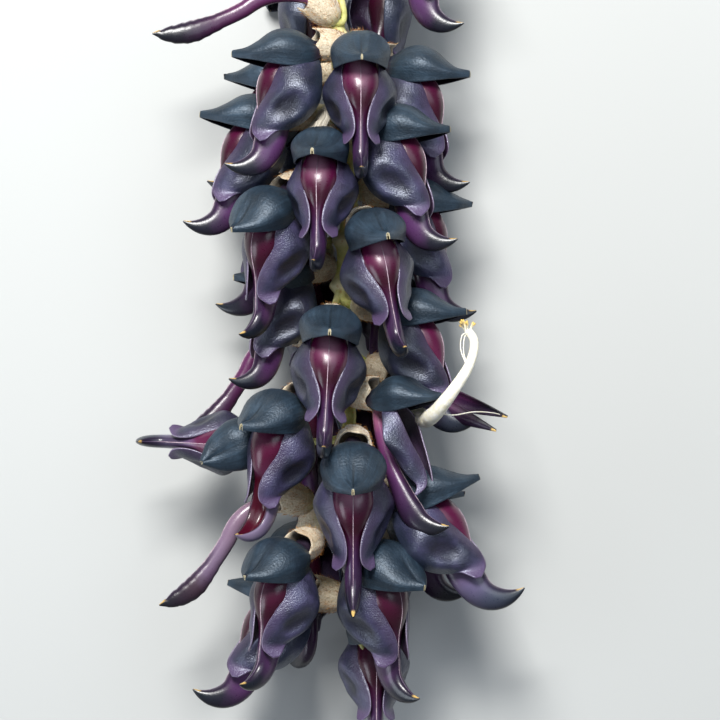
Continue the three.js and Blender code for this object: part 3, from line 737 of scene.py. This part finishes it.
def spikes(roots, directions, lengths, radius):
    """Stiff hairs: a slim three-sided spike on each root."""
    ahead = unit(directions)
    across = unit(np.cross(ahead, HAIR_OFF_AXIS))
    other = np.cross(ahead, across)
    corners = []
    for k in range(3):
        angle = 2 * np.pi * k / 3
        corners.append(roots + radius * (math.cos(angle) * across + math.sin(angle) * other))
    points = np.stack([*corners, roots + ahead * lengths[:, None]], 1)
    start = 4 * np.arange(len(roots))[:, None]
    faces = np.concatenate([start + corner for corner in ([0, 1, 3], [1, 2, 3], [2, 0, 3], [2, 1, 0])])
    place = np.tile([[0, 0, 0], [0, 0, 0], [0, 0, 0], [1, 0, 0]], (len(roots), 1)).astype(float)
    flat = points.reshape(-1, 3)
    marks = {"place": place, "edge": np.ones(len(flat)), "luck": np.repeat(np.linspace(0, 1, len(roots)), 4)}
    return flat, faces.tolist(), marks


def calyx_hairs(bloom, rng, count):
    """Hairs strewn over a calyx's outside, which lean towards its lip."""
    s = rng.uniform(HAIRS_FROM, 1, count)
    angle = rng.uniform(0, 2 * np.pi, count)
    step = 1e-3
    root = calyx_surface(bloom, s, angle)
    along = unit(calyx_surface(bloom, s + step, angle) - calyx_surface(bloom, s - step, angle))
    around = unit(calyx_surface(bloom, s, angle + step) - root)
    outward = unit(np.cross(around, along))
    outwards = rng.uniform(*HAIR_LEAN_OUT, (count, 1)) * outward
    askew = HAIR_ASKEW * around * rng.normal(size=(count, 1))
    lean = HAIR_LEAN_ALONG * along + outwards + askew
    return spikes(root - HAIR_SUNK * outward, lean, rng.uniform(*HAIR_LENGTHS, count), HAIR_RADIUS)


def bract_part(tip, luck, rng):
    """A dried bract: a thin, cupped and crumpled strip."""
    root = stem_at(BRACT_KNOT)
    tip = np.array(tip, float)
    bend = lerp(root, tip, BRACT_BEND_AT) + BRACT_BEND
    t, across = petal_grid(BRACT_CELLS)
    u = t[..., None]
    line = (1 - u) ** 2 * root + 2 * u * (1 - u) * bend + u**2 * tip
    half = BRACT_HALF * np.sin(np.pi * lerp(*BRACT_ENDS, t))
    place = 2 * across - 1
    cup = -BRACT_CUP * half * place**2
    middle = line + np.stack([place * half, np.zeros_like(t), cup], -1) + SHIFT
    middle = swell(middle, grid_normal(middle), rng, *BRACT_SWELL)
    return blade(middle, t, across, luck, BRACT_THICKNESS)


def colour(code):
    """A colour written as #rrggbb, in linear light."""
    parts = [int(code[i:i + 2], 16) / 255 for i in (1, 3, 5)]
    linear = [c / 12.92 if c <= 0.04045 else ((c + 0.055) / 1.055) ** 2.4 for c in parts]
    return (*linear, 1)


class Paint:
    """One material's node tree, with short ways to add nodes to it."""

    def __init__(self, name, **shader_values):
        self.material = bpy.data.materials.new(name)
        self.material.use_nodes = True
        self.tree = self.material.node_tree
        self.shader = self.tree.nodes["Principled BSDF"]
        for socket, value in shader_values.items():
            self.shader.inputs[socket.replace("_", " ")].default_value = value
        place = self.node("ShaderNodeAttribute", attribute_name="place")
        apart = self.node("ShaderNodeSeparateXYZ", Vector=place.outputs["Vector"])
        self.along, self.across, self.face = apart.outputs
        self.edge = self.node("ShaderNodeAttribute", attribute_name="edge").outputs["Fac"]
        self.luck = self.node("ShaderNodeAttribute", attribute_name="luck").outputs["Fac"]
        self.object = self.node("ShaderNodeTexCoord").outputs["Object"]

    def node(self, kind, **settings):
        made = self.tree.nodes.new(kind)
        for key, value in settings.items():
            if key in made.inputs:
                self.put(value, made.inputs[key])
            else:
                setattr(made, key, value)
        return made

    def put(self, value, socket):
        if isinstance(value, bpy.types.NodeSocket):
            self.tree.links.new(value, socket)
        else:
            socket.default_value = value

    def math(self, operation, a, b=0.0):
        made = self.node("ShaderNodeMath", operation=operation)
        self.put(a, made.inputs[0])
        self.put(b, made.inputs[1])
        return made.outputs[0]

    def times(self, a, b):
        return self.math("MULTIPLY", a, b)

    def plus(self, a, b):
        return self.math("ADD", a, b)

    def minus(self, a, b):
        return self.math("SUBTRACT", a, b)

    def span(self, value, low, high):
        """0 at low and 1 at high, smoothly; low may be the larger."""
        made = self.node("ShaderNodeMapRange", interpolation_type="SMOOTHSTEP")
        self.put(value, made.inputs["Value"])
        self.put(low, made.inputs["From Min"])
        self.put(high, made.inputs["From Max"])
        return made.outputs["Result"]

    def noise(self, scale, detail=3.0, vector=None, roughness=0.55):
        made = self.node("ShaderNodeTexNoise", Scale=scale, Detail=detail, Roughness=roughness)
        self.put(self.object if vector is None else vector, made.inputs["Vector"])
        return made.outputs["Fac"]

    def point(self, x, y, z=0.0):
        made = self.node("ShaderNodeCombineXYZ")
        for value, socket in zip((x, y, z), made.inputs):
            self.put(value, socket)
        return made.outputs["Vector"]

    def mix(self, factor, a, b):
        made = self.node("ShaderNodeMix", data_type="RGBA")
        self.put(factor, made.inputs["Factor"])
        self.put(a, made.inputs[6])
        self.put(b, made.inputs[7])
        return made.outputs[2]

    def tint(self, base, where, code, strength=None):
        """The base with a colour laid over it where a mark says, fully or to a strength from 0 to 1."""
        if strength is not None:
            where = self.times(where, strength)
        return self.mix(where, base, colour(code))

    def rough(self, grain, spread, least):
        return self.plus(self.times(grain, spread), least)

    def ramp(self, value, stops):
        made = self.node("ShaderNodeValToRGB")
        self.put(value, made.inputs["Fac"])
        elements = made.color_ramp.elements
        while len(elements) < len(stops):
            elements.new(0.5)
        for element, (position, code) in zip(elements, stops):
            element.position = position
            element.color = colour(code)
        return made.outputs["Color"]

    def finish(self, base, height, distance, roughness):
        """Joins the colour, a bump of the given height, and the roughness."""
        self.put(base, self.shader.inputs["Base Color"])
        bump = self.node("ShaderNodeBump", Strength=1.0, Distance=distance * MM, Height=height)
        self.put(bump.outputs["Normal"], self.shader.inputs["Normal"])
        self.put(roughness, self.shader.inputs["Roughness"])
        return self.material


# In the materials a noise's scale is per metre and a bump's distance in mm. Spans are parts of the way
# along or across a piece, or mm from its edge, and every strength was set against the photo.


def banner_material():
    paint = Paint("banner_slate", Specular_IOR_Level=0.6, Specular_Tint=(0.74, 0.86, 1, 1))
    drawn_out = paint.point(paint.times(paint.across, 46), paint.times(paint.along, 3), paint.luck)
    streaks = paint.noise(1.0, 4, drawn_out)
    mottle = paint.noise(140, 4)
    tone = paint.plus(paint.times(streaks, 0.4), paint.times(mottle, 0.6))
    outside = paint.ramp(tone, [(0.32, "#131b23"), (0.5, "#1d2934"), (0.68, "#2c3c4a")])
    ridge = paint.math("ABSOLUTE", paint.minus(paint.across, 0.5))
    # Painted shade: a dark line down the crease in the banner's ridge.
    crease = paint.times(paint.span(ridge, 0.024, 0.0), paint.span(paint.along, 0.3, 0.8))
    outside = paint.tint(outside, crease, "#06090c", 0.75)
    outside = paint.tint(outside, paint.span(paint.along, 0.12, 0.0), "#241a28")
    inside = paint.ramp(mottle, [(0.35, "#0c0810"), (0.65, "#1a121e")])
    base = paint.mix(paint.face, outside, inside)
    base = paint.tint(base, paint.span(paint.edge, 0.3, 0.0), "#56616d", 0.3)
    base = paint.tint(base, paint.span(paint.along, 0.993, 0.999), "#a39878")
    fine = paint.noise(1300, 3)
    height = paint.plus(paint.times(streaks, 0.2), paint.times(fine, 0.6))
    return paint.finish(base, height, 0.32, paint.rough(fine, 0.2, 0.35))


def wing_material():
    paint = Paint("wing_plum", Specular_IOR_Level=1.0, Specular_Tint=(0.8, 0.86, 1, 1))
    mottle = paint.noise(120, 5)
    cells = paint.noise(1800, 2)
    tone = paint.plus(mottle, paint.times(paint.minus(paint.luck, 0.5), 0.18))
    base = paint.ramp(tone, [(0.32, "#151523"), (0.5, "#232236"), (0.7, "#393552")])
    base = paint.tint(base, paint.span(paint.across, 0.45, 0.0), "#22303f", 0.55)
    base = paint.tint(base, paint.span(paint.across, 0.8, 1.0), "#3d2a46", 0.6)
    base = paint.tint(base, paint.span(paint.along, 0.84, 0.95), "#533f61", 0.8)
    base = paint.tint(base, paint.face, "#2a0d20", 0.6)
    # Painted shade in the wing's dimple, darkest at its middle.
    beside = paint.math("DIVIDE", paint.minus(paint.across, DIMPLE["column"]), DIMPLE["wide"])
    below = paint.math("DIVIDE", paint.minus(paint.along, DIMPLE["row"]), DIMPLE["tall"])
    apart = paint.plus(paint.math("POWER", beside, 2), paint.math("POWER", below, 2))
    base = paint.tint(base, paint.span(apart, 1.0, 0.15), "#120e14", 0.7)
    rim = paint.times(paint.span(paint.edge, 0.28, 0.04), paint.span(paint.across, 0.4, 0.95))
    base = paint.tint(base, rim, "#8f8298", 0.6)
    height = paint.plus(paint.times(mottle, 0.5), paint.times(cells, 0.5))
    return paint.finish(base, height, 0.42, paint.rough(cells, 0.24, 0.25))


def keel_material(name, stops, highlight_strength=0.0, slot=0.0):
    paint = Paint(name, Specular_IOR_Level=0.45, Coat_Weight=0.1, Coat_Roughness=0.15)
    mottle = paint.noise(110, 4)
    wander = paint.times(paint.minus(mottle, 0.5), 0.12)
    base = paint.ramp(paint.plus(paint.along, wander), stops)
    around = paint.across
    # Painted shade: the keel's sides and back, away from its front, are darkened.
    base = paint.tint(base, paint.span(around, 0.3, 0.05), "#120810", 0.5)
    beak_front = paint.times(paint.span(around, 0.28, 0.42), paint.span(paint.along, 0.45, 0.6))
    base = paint.tint(base, beak_front, "#22142a", 0.75)
    inner = paint.times(paint.span(around, 0.36, 0.41), paint.span(paint.along, 0.44, 0.5))
    base = paint.tint(base, inner, "#40061a", slot)
    half_lit = paint.times(paint.span(paint.face, -0.1, -0.3), paint.span(around, 0.38, 0.33))
    half_lit = paint.times(half_lit, paint.span(paint.along, 0.46, 0.56))
    base = paint.tint(base, half_lit, "#6d6078", slot)
    # The bulb's top: magenta, its own colour, laid on more strongly as painted highlight as the strength
    # rises.
    magenta_and_highlight = paint.times(paint.span(around, 0.2, 0.4), paint.span(paint.along, 0.4, 0.24))
    base = paint.tint(base, magenta_and_highlight, "#52103a", highlight_strength)
    # Painted highlight: a pale pink patch on the front of the bulb's top, beside the suture.
    painted_highlight = paint.times(paint.span(around, 0.38, 0.5), paint.span(paint.along, 0.34, 0.24))
    base = paint.tint(base, painted_highlight, "#a87a90", highlight_strength * highlight_strength)
    horn = paint.times(paint.span(paint.along, 0.95, 0.97), paint.span(around, 0.3, 0.42))
    base = paint.tint(base, horn, "#c9a763")
    fine = paint.noise(1300, 2)
    height = paint.plus(paint.times(mottle, 0.4), paint.times(fine, 0.3))
    return paint.finish(base, height, 0.12, paint.rough(fine, 0.16, 0.22))


def suture_material():
    paint = Paint("suture_pale", Specular_IOR_Level=0.4)
    grain = paint.noise(900, 2)
    base = paint.ramp(grain, [(0.3, "#97788a"), (0.7, "#c4b2ba")])
    base = paint.tint(base, paint.span(paint.along, 0.3, 0.12), "#4a1230")
    base = paint.tint(base, paint.span(paint.along, 0.62, 0.9), "#5c4a66")
    return paint.finish(base, grain, 0.05, paint.rough(grain, 0.1, 0.35))


def stem_material():
    paint = Paint("stem_green", Specular_IOR_Level=0.35, Subsurface_Weight=0.05)
    mottle = paint.noise(160, 5)
    base = paint.ramp(mottle, [(0.3, "#8a8f3e"), (0.5, "#b3b06a"), (0.7, "#d3cc97")])
    base = paint.tint(base, paint.edge, "#d9cfae", 0.75)
    base = paint.tint(base, paint.span(paint.noise(420, 3), 0.58, 0.72), "#a8743a", 0.55)
    fine = paint.noise(700, 3)
    height = paint.plus(mottle, paint.times(fine, 0.4))
    return paint.finish(base, height, 0.35, paint.rough(fine, 0.2, 0.45))


def calyx_material():
    paint = Paint("calyx_felt", Specular_IOR_Level=0.2, Sheen_Weight=0.5, Sheen_Roughness=0.4)
    felt = paint.noise(1500, 5)
    blotch = paint.noise(130, 4)
    base = paint.ramp(felt, [(0.3, "#a99a82"), (0.5, "#c2b59d"), (0.7, "#dbd0bb")])
    base = paint.tint(base, paint.span(blotch, 0.46, 0.7), "#a07850", 0.4)
    base = paint.tint(base, paint.span(paint.along, 0.35, 0.0), "#8d8f52", 0.6)
    # Painted shade inside the cup, darker deeper down.
    base = paint.tint(base, paint.span(paint.along, 1.05, 1.4), "#4a3a2c", 0.8)
    height = paint.plus(felt, paint.times(blotch, 0.8))
    return paint.finish(base, height, 0.16, paint.rough(felt, 0.2, 0.65))


def hair_material():
    paint = Paint("hair_rust", Specular_IOR_Level=0.4)
    tone = paint.noise(300, 2)
    base = paint.ramp(tone, [(0.35, "#8a5326"), (0.5, "#b9793a"), (0.65, "#dcb878")])
    return paint.finish(base, tone, 0.02, paint.rough(tone, 0.2, 0.45))


def bract_material():
    paint = Paint("bract_papery", Specular_IOR_Level=0.35)
    drawn_out = paint.point(paint.times(paint.across, 30), paint.times(paint.along, 2), paint.luck)
    veins = paint.noise(1.0, 4, drawn_out)
    base = paint.ramp(veins, [(0.3, "#6d665c"), (0.5, "#a39c8e"), (0.7, "#d2ccbf")])
    return paint.finish(base, veins, 0.3, paint.rough(veins, 0.2, 0.55))


def stamen_material():
    paint = Paint(
        "stamen_white",
        Specular_IOR_Level=0.4,
        Subsurface_Weight=0.15,
        Subsurface_Radius=(0.002, 0.002, 0.001),
    )
    grain = paint.noise(500, 3)
    base = paint.ramp(grain, [(0.3, "#dfd8c0"), (0.7, "#f6f3e8")])
    base = paint.tint(base, paint.span(paint.along, 0.93, 1.0), "#d9b65c")
    return paint.finish(base, grain, 0.1, paint.rough(grain, 0.15, 0.4))


# The keels' colours from root to tip: young, and as they dull, fade or come open
YOUNG_KEEL = [
    (0.0, "#30061a"), (0.14, "#45082a"), (0.28, "#33061a"), (0.42, "#2c0618"), (0.52, "#3c1836"),
    (0.62, "#563060"), (0.74, "#44284c"), (0.84, "#1a1a26"), (0.95, "#121a22"),
]
DULL_KEEL = [
    (0.0, "#6a3a5a"), (0.2, "#5a2650"), (0.5, "#4a2044"), (0.7, "#331a34"), (0.82, "#181620"),
    (0.95, "#10161d"),
]
FADED_KEEL = [
    (0.0, "#8f7078"), (0.2, "#7c6476"), (0.5, "#705d74"), (0.66, "#5e4962"), (0.74, "#3a2834"),
    (0.86, "#241b26"), (0.95, "#15181e"),
]
LOOSE_KEEL = [
    (0.0, "#a5856a"), (0.06, "#9a5c74"), (0.2, "#6a3460"), (0.5, "#4f2a54"), (0.7, "#33203c"),
    (0.84, "#1d1c28"), (0.95, "#14181f"),
]
LILAC_KEEL = [
    (0.0, "#30061a"), (0.28, "#45082a"), (0.42, "#57203f"), (0.52, "#665072"), (0.68, "#5d5473"),
    (0.8, "#353a4a"), (0.95, "#1a222c"),
]
SPLIT_KEEL = [
    (0.0, "#30061a"), (0.14, "#4d082c"), (0.34, "#430826"), (0.48, "#4a2038"), (0.6, "#4f2c46"),
    (0.76, "#34202c"), (0.88, "#1f2018"), (0.95, "#1c1f1a"),
]

MATERIALS = {
    "banner": banner_material(),
    "wing": wing_material(),
    # The third value is the strength of the painted highlight on a keel's bulb; "facing" is the young keel
    # with a stronger painted highlight, for blooms that face the camera.
    "young": keel_material("keel_crimson", YOUNG_KEEL, 0.35),
    "facing": keel_material("keel_facing", YOUNG_KEEL, 0.9),
    "dull": keel_material("keel_dull", DULL_KEEL),
    "faded": keel_material("keel_faded", FADED_KEEL),
    "loose": keel_material("keel_loose", LOOSE_KEEL),
    "lilac": keel_material("keel_lilac", LILAC_KEEL, 0.4),
    "split": keel_material("keel_split", SPLIT_KEEL, 0.3, slot=1.0),
    "suture": suture_material(),
    "stem": stem_material(),
    "calyx": calyx_material(),
    "hair": hair_material(),
    "bract": bract_material(),
    "stamen": stamen_material(),
}


def is_under(bloom):
    return bloom["id"].startswith("under")


def make_bloom(bloom, number):
    """The pieces of one bloom. Its number in the list seeds its unevenness and its luck."""
    rng = np.random.default_rng(BLOOM_SEED + number)
    luck = rng.uniform()
    node = f"bloom_{bloom['id']}"
    cells = UNDER_CELLS if is_under(bloom) else FRONT_CELLS
    keel_look = bloom.get("keel", "young")
    if bloom.get("opened"):
        halves = merged([half_keel_part(bloom, hand, luck) for hand in (1, -1)])
        make_piece(f"{node}_keel", halves, keel_look, node)
        return
    body, suture = keel_parts(bloom, cells["keel"], luck)
    make_piece(f"{node}_keel", body, keel_look, node)
    if not bloom.get("split"):
        make_piece(f"{node}_suture", suture, "suture", node)
    if bloom.get("bare"):
        return
    banner = banner_part({**bloom, **bloom.get("banner", {})}, cells["banner"], rng, luck)
    make_piece(f"{node}_standard", banner, "banner", node)
    wings = merged([wing_part(bloom, hand, cells["wing"], rng, luck) for hand in (1, -1)])
    make_piece(f"{node}_wings", wings, "wing", node)


def make_stem():
    rng = np.random.default_rng(STEM_SEED)
    make_piece("stem", stem_part(rng), "stem", "rachis")
    pedicels = merged([pedicel_part(bloom, rng.uniform()) for bloom in ALL_BLOOMS])
    pedicels[2]["edge"] = np.zeros(len(pedicels[0]))
    make_piece("pedicels", pedicels, "stem", "rachis")
    calyces = merged([calyx_part(bloom, rng.uniform()) for bloom in ALL_BLOOMS])
    make_piece("calyces", calyces, "calyx", "rachis")
    hairs = merged([
        calyx_hairs(bloom, rng, UNDER_HAIRS if is_under(bloom) else FRONT_HAIRS) for bloom in ALL_BLOOMS
    ])
    make_piece("calyx_hairs", hairs, "hair", "rachis")
    bracts = merged([bract_part(tip, rng.uniform(), rng) for tip in BRACT_TIPS])
    make_piece("bracts", bracts, "bract", "rachis")


def thread_part(line, radius):
    """A loose thread of one colour, such as the style."""
    return tube(line, radius, THREAD_SIDES, np.full(len(line), TUBE_SHARE), EVEN_LUCK)


def anther_part(tube_end, rng):
    """A free thread at the tube's end, with its anther."""
    aside, above = rng.uniform(-1, 1, 2)
    start = tube_end + [THREAD_OFF_CENTRE * aside, -THREAD_SUNK, THREAD_OFF_CENTRE * above]
    half_reach = 0.5 * rng.uniform(*THREAD_REACH)
    middle = start + [THREAD_LEAN * aside, half_reach, THREAD_LEAN * above]
    end = middle + [THREAD_SPREAD[0] * aside, half_reach, THREAD_SPREAD[1] * above]
    line = smooth_line([start, middle, end], THREAD_STEPS)
    radius = np.full(THREAD_STEPS, THREAD_RADIUS)
    radius[ANTHER_RINGS] = ANTHER_RADIUS
    return tube(line, radius, THREAD_SIDES, np.linspace(TUBE_SHARE, 1, THREAD_STEPS), EVEN_LUCK)


def make_stamens():
    rng = np.random.default_rng(STAMEN_SEED)
    line = smooth_line(STAMEN_ROUTE, STAMEN_STEPS) + SHIFT
    t = np.linspace(0, 1, STAMEN_STEPS)
    parts = [tube(line, stamen_tube_radius(t), STAMEN_SIDES, t * TUBE_SHARE, EVEN_LUCK)]
    parts += [anther_part(line[-1], rng) for _ in range(STAMEN_COUNT)]
    for route in HANGING_THREADS:
        parts.append(thread_part(smooth_line(route, HANGING_STEPS) + SHIFT, THREAD_RADIUS))
    style = smooth_line(STYLE_ROUTE, STYLE_STEPS) + SHIFT
    parts.append(thread_part(style, np.linspace(STYLE_RADIUS, STYLE_RADIUS / 2, STYLE_STEPS)))
    make_piece("stamens_17_tube", merged(parts), "stamen", "stamens_17")


def make_stage():
    material = bpy.data.materials.new("floor_pale")
    material.use_nodes = True
    shader = material.node_tree.nodes["Principled BSDF"]
    shader.inputs["Base Color"].default_value = FLOOR_COLOUR
    shader.inputs["Roughness"].default_value = FLOOR_ROUGHNESS
    mesh = bpy.data.meshes.new("floor")
    signs = np.array([(-1, -1, 1), (1, -1, 1), (1, 1, 1), (-1, 1, 1)])
    corners = signs * [FLOOR_REACH, FLOOR_REACH, FLOOR_LEVEL] * MM
    mesh.from_pydata(corners.tolist(), [], [(0, 1, 2, 3)])
    mesh.materials.append(material)
    floor = add_object("floor", mesh)


def add_area_light(name, place, size, watts, tint):
    light = bpy.data.lights.new(name, "AREA")
    light.size = size
    light.energy = watts
    light.color = tint
    lamp = add_object(name, light)
    lamp.location = place
    lamp.rotation_euler = (-lamp.location).to_track_quat("-Z", "Y").to_euler()


def make_lights():
    for light in LIGHTS:
        add_area_light(**light)
    world = bpy.data.worlds.new("studio")
    world.use_nodes = True
    background = world.node_tree.nodes["Background"]
    background.inputs["Color"].default_value = STUDIO_COLOUR
    background.inputs["Strength"].default_value = STUDIO_STRENGTH
    scene.world = world


def make_camera():
    data = bpy.data.cameras.new("camera")
    data.lens = CAMERA_LENS
    data.sensor_width = CAMERA_SENSOR
    camera = add_object("camera", data)
    camera.location = (SHIFT + [CAMERA_BESIDE, 0, CAMERA_ABOVE]) * MM
    scene.camera = camera


make_camera()
make_stage()
make_lights()
scene.view_settings.view_transform = "Standard"
for order, one in enumerate(ALL_BLOOMS):
    make_bloom(one, order)
make_stem()
make_stamens()
